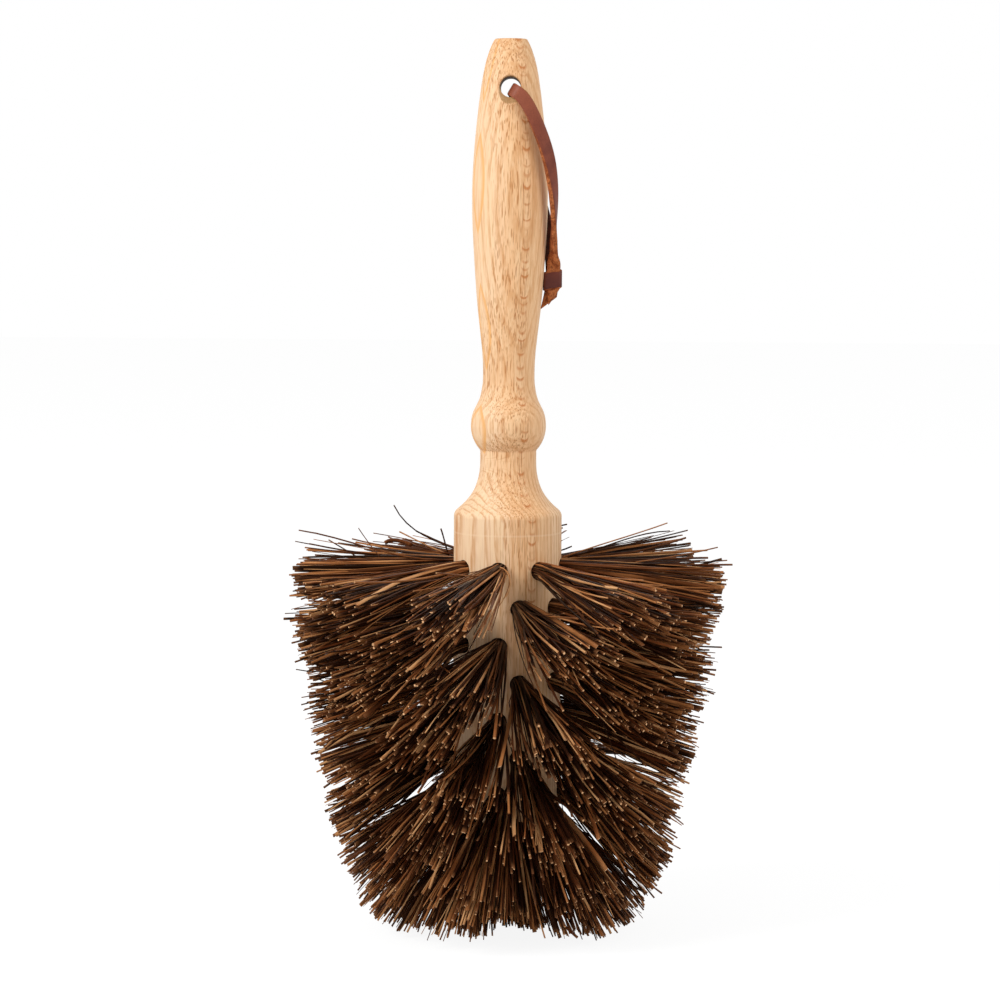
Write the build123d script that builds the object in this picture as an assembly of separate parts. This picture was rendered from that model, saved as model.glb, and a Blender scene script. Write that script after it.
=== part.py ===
from build123d import *
import math
import os
from dataclasses import dataclass

# A round scrubbing brush. The handle and the thick core under it are one turned piece of beech.
# Tufts of stiff palm fibre sit in drilled holes all round the core and in its end, each folded
# over a short wire anchor, and a leather thong with a leather band hangs in the handle's hole.
# Lengths are in millimetres and angles in degrees. +Z runs up the handle, the brush stands on its
# end tufts at Z = 0, the front is towards -Y, and the hanging hole runs along Y.

# The way to the front, as a turn from the X axis
front_angle = -90.0

# Beech handle and core, from the core's end upwards
end_bristle_length = 40.0
core_radius = 20.4
core_length = 120.0
core_end_round = 7.0
shoulder_height = 20.0
shoulder_corner_round = 3.2
neck_radius = 10.6
neck_height = 3.4
crease_round = 0.8
bead_lower_height = 9.1
bead_radius = 14.2
bead_upper_height = 20.0
waist_radius = 9.7
waist_to_grip = 66.5
grip_radius = 14.25
grip_to_end = 58.5
end_radius = 5.9
end_edge_round = 0.7

# Curved stretches of the outline: share of the change in radius that is left, share of the height
shoulder_flare_shares = ((0.50, 0.225), (0.23, 0.42), (0.07, 0.64))
bead_upper_shares = ((0.73, 0.31), (0.31, 0.50), (0.10, 0.69))
grip_lower_shares = ((0.615, 0.304), (0.21, 0.64))
grip_upper_shares = ((0.878, 0.36),)
grip_end_shares = ((0.644, 0.55), (0.42, 0.753))
shoulder_flare_slope = 0.75
grip_end_slope = 1.3
tolerance = 0.01

# Hanging hole through the grip, countersunk on both sides
hole_from_end = 18.2
hole_radius = 3.8
handle_radius_at_hole = 11.1
countersink_radius = 5.7
countersink_depth = 1.3

# Tufts of palm fibre: blind holes, the folded bundle in each, and the strands that fan out of it
tufts_per_row = 8
row_tilts = (2.0, 3.0, 5.0, 8.0, 12.0, 18.0, 28.0)
row_leans = (4.5, 6.5, 9.0, 13.0, 19.0, 26.0, 36.0)
front_droop = 6.0
top_row_below_shoulder = 20.8
row_pitch = 14.15
odd_row_turn = -8.5
even_row_turn = 14.0
end_ring_tilt = 48.0
end_ring_lean = 54.0
centre_tufts = 4
centre_ring_radius = 6.3
centre_tilt = 84.0
tuft_hole_radius = 3.5
tuft_hole_depth = 9.0
centre_hole_depth = 8.0
tuft_fit = 0.1
root_stand = 2.5
strand_side = 1.7
strand_sink = 1.5
strand_reach = 95.0
strand_shares = ((0, 0), (1, 0), (-1, 0), (0.5, 1), (-0.5, 1), (0.5, -1), (-0.5, -1))
root_spread_side = 2.2
root_spread_up = 1.9
side_fan = 23.0
row_fan = 5.0
fan_step_share = 0.15
end_side_fan = 17.0
end_fan = 13.0
strand_sway_share = 0.07
sway_turn = 137.5

# The surface that the fibres are trimmed to: widest at the top, flat where the brush stands
head_radius = 81.0
head_widest_height = 135.0
head_flat_radius = 34.0
head_lower_round = 28.0

# Wire anchors, each across the bottom of its tuft's hole with both ends in the wood
wire_radius = 0.6
anchor_bite = 0.8
anchor_above_bottom = 1.3
anchor_fit = 0.05

# Leather thong: one flat strip through the hanging hole, both strands held by a leather band
thong_width = 5.0
thong_thickness = 2.0
arc_share = 0.45
band_height = 6.5
band_thickness = 1.0
band_corner_round = 1.6
band_fit = 0.1
band_x = 16.8
band_y = 1.4
band_drop = 71.8
band_strand_gap = 0.2

# The thong's route, as X, Y and the drop below the hanging hole's centre: down the front strand
# from the front mouth, then down the rear strand from the rear mouth, each to its cut tail
thong_front_route = (
    (0.3, -13.2, 0.2),
    (7.4, -13.6, 11.4),
    (12.3, -11.8, 24.0),
    (14.8, -9.2, 36.5),
    (16.0, -6.6, 47.5),
    (16.6, -3.9, 56.8),
    (16.8, 0.3, 65.5),
    (16.8, 0.3, 76.5),
    (17.8, -0.3, 82.6),
)
thong_rear_route = (
    (0.3, 13.2, 0.2),
    (7.4, 13.8, 11.4),
    (12.2, 12.4, 24.0),
    (14.6, 10.2, 36.5),
    (15.8, 8.0, 47.5),
    (16.4, 5.6, 56.8),
    (16.8, 2.5, 65.5),
    (16.8, 2.5, 76.5),
    (15.2, 3.3, 84.0),
)

# A cut runs past the surface by this much
overrun = 4.0

core_z = end_bristle_length
shoulder_z = core_z + core_length
neck_z = shoulder_z + shoulder_height
crease_z = neck_z + neck_height
bead_z = crease_z + bead_lower_height
waist_z = bead_z + bead_upper_height
grip_z = waist_z + waist_to_grip
end_z = grip_z + grip_to_end
hole_z = end_z - hole_from_end


@dataclass
class Ring:
    """Tufts at one height: their holes, and the way that the strands outside them lean and fan."""

    name: str
    count: int
    turn: float
    radius: float
    height: float
    tilt: float
    lean: float
    droop: float
    depth: float
    up_fan: float
    side_fan: float

    def azimuths(self):
        """Where the tufts stand round the core, from the front."""
        step = 360 / self.count
        return [self.turn + step * k for k in range(self.count)]

    def root(self):
        return Vector(self.radius, 0, self.height)

    def plane(self, along):
        """The plane across a hole at a distance outside its mouth, for the tuft on the X axis."""
        centre = self.root() + outward(self.tilt) * along
        return Plane(origin=centre, x_dir=(0, 1, 0), z_dir=outward(self.tilt))

    def strand_lean(self, azimuth):
        """How far below the level the strands point: the tufts at the front droop the most."""
        return self.lean + self.droop * math.cos(math.radians(azimuth))

    def copies(self, shape):
        """The shape made for the tuft on the X axis, once for each tuft of the ring."""
        return [turned_to(azimuth, shape) for azimuth in self.azimuths()]


def outward(lean):
    """Away from the axis, for a tuft on the X axis that leans down by an angle."""
    return Vector(math.cos(math.radians(lean)), 0, -math.sin(math.radians(lean)))


def upward(lean):
    """Across that direction, on its upper side."""
    return Vector(math.sin(math.radians(lean)), 0, math.cos(math.radians(lean)))


def turned_to(azimuth, shape):
    return Rot(0, 0, front_angle + azimuth) * shape


def tuft_rings():
    """The rows round the core from the top down, the ring at its rounded end and the centre."""
    rings = []
    for row, (tilt, lean) in enumerate(zip(row_tilts, row_leans)):
        lower_lean = row_leans[row + 1] if row + 1 < len(row_leans) else end_ring_lean
        rings.append(
            Ring(
                name=f"row_{row + 1}",
                count=tufts_per_row,
                turn=even_row_turn if row % 2 else odd_row_turn,
                radius=core_radius,
                height=shoulder_z - top_row_below_shoulder - row_pitch * row,
                tilt=tilt,
                lean=lean,
                droop=front_droop,
                depth=tuft_hole_depth,
                up_fan=row_fan + (lower_lean - lean) * fan_step_share,
                side_fan=side_fan,
            )
        )
    end_tilt = math.radians(end_ring_tilt)
    rings.append(
        Ring(
            name="end_ring",
            count=tufts_per_row,
            turn=even_row_turn,
            radius=core_radius - core_end_round * (1 - math.cos(end_tilt)),
            height=core_z + core_end_round * (1 - math.sin(end_tilt)),
            tilt=end_ring_tilt,
            lean=end_ring_lean,
            droop=front_droop,
            depth=tuft_hole_depth,
            up_fan=end_fan,
            side_fan=side_fan,
        )
    )
    rings.append(
        Ring(
            name="centre",
            count=centre_tufts,
            turn=odd_row_turn,
            radius=centre_ring_radius,
            height=core_z,
            tilt=centre_tilt,
            lean=centre_tilt,
            droop=0,
            depth=centre_hole_depth,
            up_fan=end_fan,
            side_fan=end_side_fan,
        )
    )
    return rings


def between(start, end, shares):
    """Points of an outline between two of its ends: share of the change left, share of the height."""
    return [
        (end[0] + (start[0] - end[0]) * left, start[1] + (end[1] - start[1]) * height)
        for left, height in shares
    ]


def turned_handle():
    """The handle and core as they come off the lathe, before any drilling."""
    core_bottom = (0, core_z)
    core_edge = (core_radius - core_end_round, core_z)
    core_side = (core_radius, core_z + core_end_round)
    corner = (core_radius, shoulder_z)
    neck = (neck_radius, neck_z)
    crease = (neck_radius, crease_z)
    bead = (bead_radius, bead_z)
    waist = (waist_radius, waist_z)
    grip = (grip_radius, grip_z)
    at_hole = (handle_radius_at_hole, hole_z)
    end = (end_radius, end_z)
    end_centre = (0, end_z)
    upright = (0, 1)
    flare = [corner, *between(corner, neck, shoulder_flare_shares), neck]
    bead_upper = [bead, *between(bead, waist, bead_upper_shares), waist]
    grip_lower = [waist, *between(waist, grip, grip_lower_shares), grip]
    grip_upper = [grip, *between(grip, end, grip_upper_shares), at_hole]
    grip_upper += [*between(at_hole, end, grip_end_shares), end]
    outline = [
        Line(core_bottom, core_edge),
        TangentArc(core_edge, core_side, tangent=(1, 0)),
        Line(core_side, corner),
        Spline(*flare, tangents=[(-1, shoulder_flare_slope), upright]),
        Line(neck, crease),
        TangentArc(bead, crease, tangent=(0, -1)),
        Spline(*bead_upper, tangents=[upright, upright]),
        Spline(*grip_lower, tangents=[upright, upright]),
        Spline(*grip_upper, tangents=[upright, (-1, grip_end_slope)]),
        Line(end, end_centre),
        Line(end_centre, core_bottom),
    ]
    turned = revolve(Plane.XZ * make_face(outline), Axis.Z)
    turned = fillet(edges_at_height(turned, shoulder_z), shoulder_corner_round)
    turned = fillet(edges_at_height(turned, crease_z), crease_round)
    return fillet(edges_at_height(turned, end_z), end_edge_round)


def edges_at_height(shape, height):
    return shape.edges().filter_by_position(Axis.Z, height - tolerance, height + tolerance)


def hanging_hole():
    """The hole through the grip along Y, with a countersink at each mouth."""
    hole_length = 2 * (handle_radius_at_hole + overrun)
    widening = (countersink_radius - hole_radius) / countersink_depth
    outer_radius = countersink_radius + widening * overrun
    centre = Plane(origin=(0, 0, hole_z), z_dir=(0, 1, 0))
    cuts = [centre * Cylinder(hole_radius, hole_length)]
    for side in (-1, 1):
        floor_y = side * (handle_radius_at_hole - countersink_depth)
        middle_y = floor_y + side * (countersink_depth + overrun) / 2
        mouth = Plane(origin=(0, middle_y, hole_z), z_dir=(0, side, 0))
        cuts.append(mouth * Cone(hole_radius, outer_radius, countersink_depth + overrun))
    return cuts


def tuft_hole(ring):
    return extrude(ring.plane(-ring.depth) * Circle(tuft_hole_radius), ring.depth + overrun)


def anchor_wire(ring, play=0.0):
    """A straight wire across a tuft's hole, or with play the seat that it has in the wood."""
    half = tuft_hole_radius + anchor_bite + play
    middle = ring.root() - outward(ring.tilt) * (ring.depth - anchor_above_bottom)
    across = Plane(origin=middle - Vector(0, half, 0), x_dir=(1, 0, 0), z_dir=(0, 1, 0))
    return extrude(across * Circle(wire_radius + play), 2 * half)


def drilled_handle(rings):
    """The turned handle with its hanging hole, the tufts' holes and the anchors' seats."""
    cuts = hanging_hole()
    for ring in rings:
        cuts += ring.copies(tuft_hole(ring))
        cuts += ring.copies(anchor_wire(ring, anchor_fit))
    return turned_handle() - cuts


def trimmed_head():
    """The round body that holds every fibre: what lies outside it has been trimmed away."""
    flat_edge = (head_flat_radius, 0)
    round_top = (head_flat_radius + head_lower_round, head_lower_round)
    widest = (head_radius, head_widest_height)
    top = (head_radius, neck_z)
    top_centre = (0, neck_z)
    outline = [
        Line((0, 0), flat_edge),
        TangentArc(flat_edge, round_top, tangent=(1, 0)),
        Line(round_top, widest),
        Line(widest, top),
        Line(top, top_centre),
        Line(top_centre, (0, 0)),
    ]
    return revolve(Plane.XZ * make_face(outline), Axis.Z)


def strand(ring, lean, side, up, sway):
    """One thick square strand, standing for some ten fibres, from inside the root outwards."""
    right = Vector(0, 1, 0)
    side_share = side + strand_sway_share * math.cos(math.radians(sway))
    up_share = up + strand_sway_share * math.sin(math.radians(sway))
    fan_side = right * (side_share * math.tan(math.radians(ring.side_fan)))
    fan_up = upward(lean) * (up_share * math.tan(math.radians(ring.up_fan)))
    along = (outward(lean) + fan_side + fan_up).normalized()
    start = (
        ring.root()
        + outward(ring.tilt) * (root_stand - strand_sink)
        + right * (side * root_spread_side)
        + upward(ring.tilt) * (up * root_spread_up)
    )
    across = Plane(origin=start, x_dir=right - along * right.dot(along), z_dir=along)
    return extrude(across * Rectangle(strand_side, strand_side), strand_reach)


def folded_bundle(ring):
    """The round foot of a tuft: folded over its wire at the hole's bottom, up to outside the mouth."""
    root_length = ring.depth - tuft_fit + root_stand
    foot = extrude(ring.plane(tuft_fit - ring.depth) * Circle(tuft_hole_radius - tuft_fit), root_length)
    return foot - anchor_wire(ring, tuft_fit)


def tufts(ring, ring_number, head):
    """The ring's tufts: each a bundle that fans out from its hole to the trimmed ends."""
    bundle = folded_bundle(ring)
    grown = []
    for azimuth in ring.azimuths():
        strands = []
        for number, (side, up) in enumerate(strand_shares):
            sway = sway_turn * (number + ring_number * len(strand_shares))
            strands.append(strand(ring, ring.strand_lean(azimuth), side, up, sway))
        grown.append(turned_to(azimuth, (bundle + strands) & head))
    return grown


def corner_radii(points):
    """A radius for each inner point of a route, as large as the runs beside it allow."""
    radii = []
    for before, corner, after in zip(points, points[1:], points[2:]):
        arriving, leaving = corner - before, after - corner
        half_turn = math.radians(arriving.get_angle(leaving)) / 2
        shorter_run = min(arriving.length, leaving.length)
        radii.append(arc_share * shorter_run / math.tan(half_turn))
    return radii


def thong():
    """The flat strip from tail to tail, up the rear strand, through the hole and down the front."""
    route = [*reversed(thong_rear_route), *thong_front_route]
    points = [Vector(x, y, hole_z - drop) for x, y, drop in route]
    radii = corner_radii(points)
    path = FilletPolyline(*points, radius=radii)
    start = Plane(origin=path @ 0, x_dir=(1, 0, 0), z_dir=path % 0)
    strip = sweep(start * Rectangle(thong_width, thong_thickness), path=path.wire())
    expected = thong_width * thong_thickness * path.length
    print("thong radii", [round(radius, 1) for radius in radii])
    print("thong length", round(path.length, 1), "volume share", round(strip.volume / expected, 4))
    return strip


def thong_band():
    """The leather band round both strands."""
    inner_x = thong_width + 2 * band_fit
    inner_y = 2 * thong_thickness + band_strand_gap + 2 * band_fit
    outer = RectangleRounded(
        inner_x + 2 * band_thickness, inner_y + 2 * band_thickness, band_corner_round
    )
    across = Plane(origin=(band_x, band_y, hole_z - band_drop - band_height / 2))
    return extrude(across * (outer - Rectangle(inner_x, inner_y)), band_height)


def save(name, shapes):
    """Writes the separate solids of one sub-part to its own file."""
    solids = [solid for shape in shapes for solid in shape.solids()]
    export_step(Compound(children=solids), f"parts/{name}.step")
    print(name, len(solids), round(sum(solid.volume for solid in solids)))


os.makedirs("parts", exist_ok=True)
rings = tuft_rings()
save("handle", [drilled_handle(rings)])
head = trimmed_head()
for ring_number, ring in enumerate(rings):
    save(f"tufts_{ring.name}", tufts(ring, ring_number, head))
    save(f"anchors_{ring.name}", ring.copies(anchor_wire(ring)))
save("thong", [thong()])
save("thong_band", [thong_band()])
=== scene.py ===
import bpy
import math
import numpy as np
from mathutils import Matrix, Vector


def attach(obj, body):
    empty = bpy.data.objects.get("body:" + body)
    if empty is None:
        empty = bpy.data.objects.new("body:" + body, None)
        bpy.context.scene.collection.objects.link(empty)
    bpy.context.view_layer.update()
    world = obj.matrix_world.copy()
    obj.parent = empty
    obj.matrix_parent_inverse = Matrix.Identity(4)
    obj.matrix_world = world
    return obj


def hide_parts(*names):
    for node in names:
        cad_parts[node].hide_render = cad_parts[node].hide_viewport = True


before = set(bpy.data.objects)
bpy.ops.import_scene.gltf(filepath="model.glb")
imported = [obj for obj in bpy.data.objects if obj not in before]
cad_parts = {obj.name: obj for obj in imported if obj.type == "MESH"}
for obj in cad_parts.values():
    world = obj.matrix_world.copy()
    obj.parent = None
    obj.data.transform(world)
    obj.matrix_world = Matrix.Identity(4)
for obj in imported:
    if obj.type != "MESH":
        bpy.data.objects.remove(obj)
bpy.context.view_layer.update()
mm = 0.001
print("frame loaded")


# camera: a little below the hanging hole, looking slightly down and from slightly to the right
view = dict(
    distance=1.207,
    height=0.270,
    sideways=-0.0030,
    pitchDown=5.0,
    roll=0.38,
    aroundRight=1.0,
    lens=115.2,
    sensor=36,
    nearest=0.01,
)

cameraData = bpy.data.cameras.new("camera")
cameraData.lens = view["lens"]
cameraData.sensor_width = view["sensor"]
cameraData.clip_start = view["nearest"]
camera = bpy.data.objects.new("camera", cameraData)
bpy.context.collection.objects.link(camera)
camera.matrix_world = (
    Matrix.Rotation(math.radians(view["aroundRight"]), 4, "Z")
    @ Matrix.Translation((view["sideways"], -view["distance"], view["height"]))
    @ Matrix.Rotation(math.radians(90 - view["pitchDown"]), 4, "X")
    @ Matrix.Rotation(math.radians(view["roll"]), 4, "Z")
)
bpy.context.scene.camera = camera
bpy.context.scene.view_settings.view_transform = "Standard"
print("camera placed")


# shader maths: a socket that can be added, multiplied and compared
class Value:
    def __init__(self, shader, socket):
        self.shader = shader
        self.socket = socket

    def calc(self, operation, *others, clamp=False):
        values = dict(enumerate((self,) + others))
        return self.shader.node("Math", dict(operation=operation, use_clamp=clamp), values)

    def __add__(self, other):
        return self.calc("ADD", other)

    def __sub__(self, other):
        return self.calc("SUBTRACT", other)

    def __mul__(self, other):
        return self.calc("MULTIPLY", other)

    def __truediv__(self, other):
        return self.calc("DIVIDE", other)

    def __radd__(self, other):
        return self.calc("ADD", other)

    def __rsub__(self, other):
        return self.shader.node("Math", dict(operation="SUBTRACT"), {0: other, 1: self})

    def between(self, low, high, start=0.0, end=1.0):
        values = {"Value": self, "From Min": low, "From Max": high, "To Min": start, "To Max": end}
        return self.shader.node("MapRange", dict(interpolation_type="SMOOTHSTEP"), values)

    def output(self, key):
        # another output of the node that this value comes from
        return Value(self.shader, self.socket.node.outputs[key])


class Shader:
    def __init__(self, name, owners=bpy.data.materials):
        self.material = owners.new(name)
        self.material.use_nodes = True
        self.tree = self.material.node_tree
        self.tree.nodes.clear()

    def node(self, kind, settings=None, values=None, output=0):
        made = self.tree.nodes.new("ShaderNode" + kind)
        for key, setting in (settings or {}).items():
            if key == "stops":
                self.setStops(made.color_ramp, setting)
            else:
                setattr(made, key, setting)
        for key, value in (values or {}).items():
            if isinstance(value, Value):
                self.tree.links.new(value.socket, made.inputs[key])
            else:
                made.inputs[key].default_value = value
        return Value(self, made.outputs[output]) if made.outputs else made

    def setStops(self, ramp, stops):
        while len(ramp.elements) < len(stops):
            ramp.elements.new(1)
        for element, (place, colour) in zip(ramp.elements, stops):
            element.position = place
            element.color = rgb(colour)

    def mix(self, factor, first, second, blend="MIX"):
        settings = dict(data_type="RGBA", blend_type=blend)
        values = {0: factor, 6: first, 7: second}
        return self.node("Mix", settings, values, output=2)

    def stretch(self, vector, scale):
        return self.node("VectorMath", dict(operation="MULTIPLY"), {0: vector, 1: scale})

    def noise(self, vector, scale, detail=2.0, roughness=0.5, distortion=0.0):
        values = dict(Vector=vector, Scale=scale, Detail=detail, Roughness=roughness, Distortion=distortion)
        return self.node("TexNoise", {}, values)

    def finish(self, principled, bump=None):
        if bump is not None:
            principled["Normal"] = bump
        surface = self.node("BsdfPrincipled", {}, principled)
        self.node("OutputMaterial", {}, dict(Surface=surface))
        return self.material


def rgb(colour):
    # screen colours 0-255 to the linear values that the shaders take
    linear = [c / 255 / 12.92 if c <= 10 else ((c / 255 + 0.055) / 1.055) ** 2.4 for c in colour]
    return (*linear, 1.0)


# the thong's route, down from the hanging hole on both sides
def fromHole(x, y, drop):
    return Vector((x, y, 319.3 - drop)) * mm


thongSet = dict(
    width=5.0 * mm,
    thickness=2.0 * mm,
    edgeRound=0.45 * mm,
    # rear strand, from its tail up to the rear mouth, then the front strand down to its tail;
    # the last numbers are the way that the smooth side faces
    rear=[
        ((1.0, 13.2, 0.9), (-0.60, 0.70, 0.35)),
        ((7.4, 13.8, 11.4), (0.14, 0.99, 0.0)),
        ((10.6, 13.2, 24.0), (0.24, 0.97, 0.0)),
        ((11.0, 12.7, 36.5), (0.30, 0.95, 0.0)),
        ((11.3, 12.4, 43.0), (0.30, 0.95, 0.0)),
        ((13.2, 10.6, 49.5), (0.30, 0.95, 0.0)),
        ((14.9, 8.0, 57.5), (0.20, 0.98, 0.0)),
        ((16.1, 3.1, 65.5), (0.0, 1.0, 0.0)),
        ((16.2, 2.7, 74.5), (0.0, 1.0, 0.0)),
        ((14.8, 3.4, 80.4), (0.0, 1.0, 0.0)),
    ],
    front=[
        ((0.5, -13.2, 0.8), (-0.60, -0.70, 0.35)),
        ((5.2, -14.1, 4.0), (-0.25, -0.93, 0.2)),
        ((9.3, -13.6, 11.8), (0.15, -0.98, 0.0)),
        ((14.1, -11.7, 24.0), (0.50, -0.87, 0.0)),
        ((16.3, -9.1, 36.5), (0.84, -0.54, 0.0)),
        ((16.7, -6.7, 47.5), (0.99, -0.16, 0.0)),
        ((16.5, -4.4, 56.8), (0.97, 0.24, 0.0)),
        ((16.6, -2.6, 61.6), (0.93, 0.36, 0.0)),
        ((16.7, -0.5, 67.2), (0.1, 1.0, 0.0)),
        ((16.2, 0.3, 72.5), (0.0, 1.0, 0.0)),
        ((16.9, -0.1, 78.0), (0.0, 1.0, 0.0)),
    ],
    frontTailCut=-1.15,
    rearTailCut=-1.2,
    cutLength=7.0 * mm,
    # where the painted shade on the rear strand starts
    paintedShadeFrom=12.0 * mm,
    smoothFaces=(1, 5),
    wear=0.04,
    length=0.1975,
)


def smoothRoute(name, points):
    # the points that Blender's own spline runs through, with the curve taken away again
    curve = bpy.data.curves.new(name, "CURVE")
    curve.dimensions = "3D"
    curve.resolution_u = 16
    spline = curve.splines.new("NURBS")
    spline.points.add(len(points) - 1)
    for place, point in zip(spline.points, points):
        place.co = (*point, 1)
    spline.order_u = 3
    spline.use_endpoint_u = True
    holder = bpy.data.objects.new(name, curve)
    bpy.context.collection.objects.link(holder)
    line = bpy.data.meshes.new_from_object(holder)
    route = [vertex.co.copy() for vertex in line.vertices]
    bpy.data.objects.remove(holder)
    bpy.data.curves.remove(curve)
    bpy.data.meshes.remove(line)
    return route


def stripOutline(width, thickness, edgeRound):
    # across the strip: first along the width, second towards the smooth side
    w, t, e = width / 2, thickness / 2, edgeRound
    smooth = [(w, t - e), (w - e * 0.3, t - e * 0.3), (w - e, t), (w * 0.4, t * 1.04), (-w * 0.4, t * 1.04)]
    smooth += [(-w + e, t), (-w + e * 0.3, t - e * 0.3), (-w, t - e)]
    flesh = [(-w, -t + e), (-w + e * 0.3, -t + e * 0.3), (-w + e, -t), (-w * 0.4, -t), (w * 0.4, -t)]
    flesh += [(w - e, -t), (w - e * 0.3, -t + e * 0.3), (w, -t + e)]
    return smooth + flesh


def makeThong():
    controls = [*reversed(thongSet["rear"]), *thongSet["front"]]
    points = [fromHole(*place) for place, face in controls]
    faces = np.array([face for place, face in controls])
    route = smoothRoute("thongRoute", points)
    last = len(points) - 2
    peaks = [0.0] + [k + 0.5 for k in range(last)] + [float(last)]
    along = np.linspace(0, last, len(route))
    facing = np.stack([np.interp(along, peaks, faces[:, axis]) for axis in range(3)], axis=1)
    outline = stripOutline(thongSet["width"], thongSet["thickness"], thongSet["edgeRound"])
    rng = np.random.default_rng(4)
    verts, quads = [], []
    size = len(outline)
    steps = [(after - before).length for before, after in zip(route, route[1:])]
    travelled = np.concatenate([[0], np.cumsum(steps)])
    for k, centre in enumerate(route):
        ahead = route[min(k + 1, len(route) - 1)] - route[max(k - 1, 0)]
        ahead.normalize()
        normal = Vector(facing[k])
        normal = (normal - ahead * normal.dot(ahead)).normalized()
        side = ahead.cross(normal)
        fromTail = travelled[k] / thongSet["cutLength"]
        toTail = (travelled[-1] - travelled[k]) / thongSet["cutLength"]
        cut = thongSet["rearTailCut"] * max(0, 1 - fromTail) + thongSet["frontTailCut"] * max(0, 1 - toTail)
        wear = rng.uniform(-thongSet["wear"], thongSet["wear"], size) * mm
        for (w, t), rough in zip(outline, wear):
            stand = t + (rough if t < 0 else 0)
            verts.append(centre + side * w + normal * stand + ahead * (w * cut))
    for k in range(len(route) - 1):
        for j in range(size):
            a, b = k * size + j, k * size + (j + 1) % size
            quads.append((a, b, b + size, a + size))
    quads.append(tuple(range(size - 1, -1, -1)))
    quads.append(tuple(range((len(route) - 1) * size, len(route) * size)))
    mesh = bpy.data.meshes.new("leatherThong")
    mesh.from_pydata(verts, [], quads)
    # the smooth side, then the flesh side and the cut edges, which along the rear strand get painted shade,
    # a much darker copy of the flesh
    smoothFrom, smoothTo = thongSet["smoothFaces"]
    paintedShadeFrom = thongSet["paintedShadeFrom"]
    paintedShadeTo = travelled[len(route) // 2]
    for number, polygon in enumerate(mesh.polygons):
        j = number % size
        whole = number < (len(route) - 1) * size
        reached = travelled[number // size % len(route)]
        fleshOrShade = 2 if paintedShadeFrom < reached < paintedShadeTo else 1
        polygon.material_index = 0 if whole and smoothFrom <= j <= smoothTo else fleshOrShade
        polygon.use_smooth = whole
    thong = bpy.data.objects.new("leatherThong", mesh)
    bpy.context.collection.objects.link(thong)
    return thong, route


def leatherSmooth():
    shader = Shader("leatherSmooth")
    place = shader.node("TexCoord", output=3)
    cloud = shader.noise(place, 260.0, 3.0)
    grain = shader.noise(place, 2600.0, 2.0)
    # painted highlight: lighter at the hole; darker further down
    height = shader.node("SeparateXYZ", {}, dict(Vector=place)).output(2)
    colour = shader.mix(cloud.between(0.3, 0.7), rgb((108, 46, 28)), rgb((128, 61, 39)))
    colour = shader.mix(height.between(0.296, 0.316) * 0.6, colour, rgb((160, 88, 62)))
    colour = shader.mix(height.between(0.256, 0.246) * 0.8, colour, rgb((76, 30, 23)))
    colour = shader.mix(grain.between(0.35, 0.75) * 0.35, colour, rgb((86, 38, 26)))
    bump = shader.node("Bump", {}, dict(Strength=0.25, Distance=0.0001, Height=grain))
    principled = {"Base Color": colour, "Roughness": 0.42 + cloud * 0.15, "Specular IOR Level": 0.3}
    return shader.finish(principled, bump)


def leatherFlesh(name, dark, light, pits):
    shader = Shader(name)
    place = shader.node("TexCoord", output=3)
    cloud = shader.noise(place, 420.0, 3.0)
    nap = shader.noise(place, 1500.0, 4.0, 0.7)
    colour = shader.mix(cloud.between(0.3, 0.7), rgb(dark), rgb(light))
    colour = shader.mix(nap.between(0.42, 0.66) * 0.7, colour, rgb(pits))
    bump = shader.node("Bump", {}, dict(Strength=0.7, Distance=0.0003, Height=nap))
    return shader.finish({"Base Color": colour, "Roughness": 0.9, "Specular IOR Level": 0.2}, bump)


smoothSide = leatherSmooth()
fleshSide = leatherFlesh("leatherFlesh", (140, 68, 32), (196, 118, 68), (78, 32, 14))
# painted shade: a much darker copy of the flesh, for the rear strand in shade between the handle and the
# front strand
paintedShadeFlesh = leatherFlesh("leatherFleshPaintedShade", (44, 16, 9), (70, 28, 15), (28, 9, 5))
thong, thongPath = makeThong()
thong.data.materials.append(smoothSide)
thong.data.materials.append(fleshSide)
thong.data.materials.append(paintedShadeFlesh)
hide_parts("thong")
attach(thong, "loop")
print("thong made")


# the band round both strands
bandSet = dict(
    centre=(16.2, 1.7, 71.7),
    inside=(5.2, 4.4),
    wall=1.0,
    height=6.7,
    tilt=0.34,
    cornerRound=1.3,
)


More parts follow.
